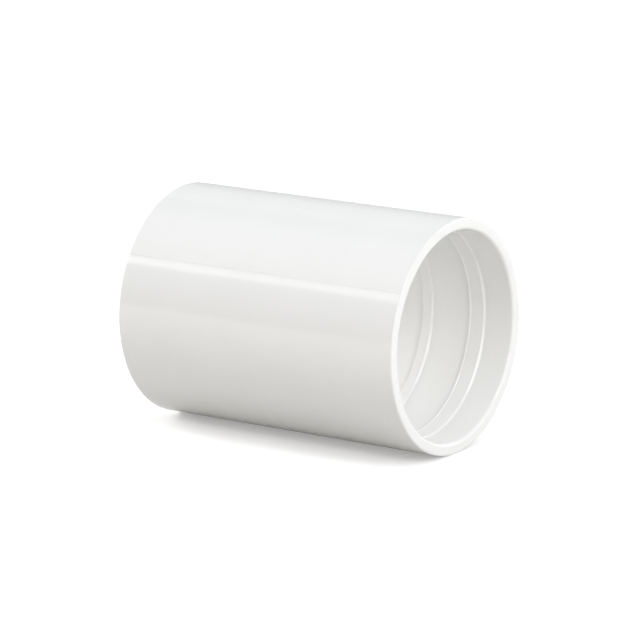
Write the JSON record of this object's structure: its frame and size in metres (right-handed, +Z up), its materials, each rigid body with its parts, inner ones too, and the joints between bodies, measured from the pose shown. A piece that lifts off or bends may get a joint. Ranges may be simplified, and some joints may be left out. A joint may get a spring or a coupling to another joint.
{
  "type": "pipe coupling",
  "caption": "Straight plastic coupling that joins two tubes end to end, with a ribbed slip socket at each end and a stop ring between them.",
  "frame": {"origin": "middle of the coupling on its axis", "axes": "+X along the axis out of one socket, +Z up with the coupling lying on its side"},
  "size_m": [0.0798, 0.0576, 0.0576],
  "materials": {
    "white_pvc": "satin gloss as moulded"
  },
  "bodies": {
    "root": {"coupling_body": "white_pvc"}
  },
  "joints": []
}
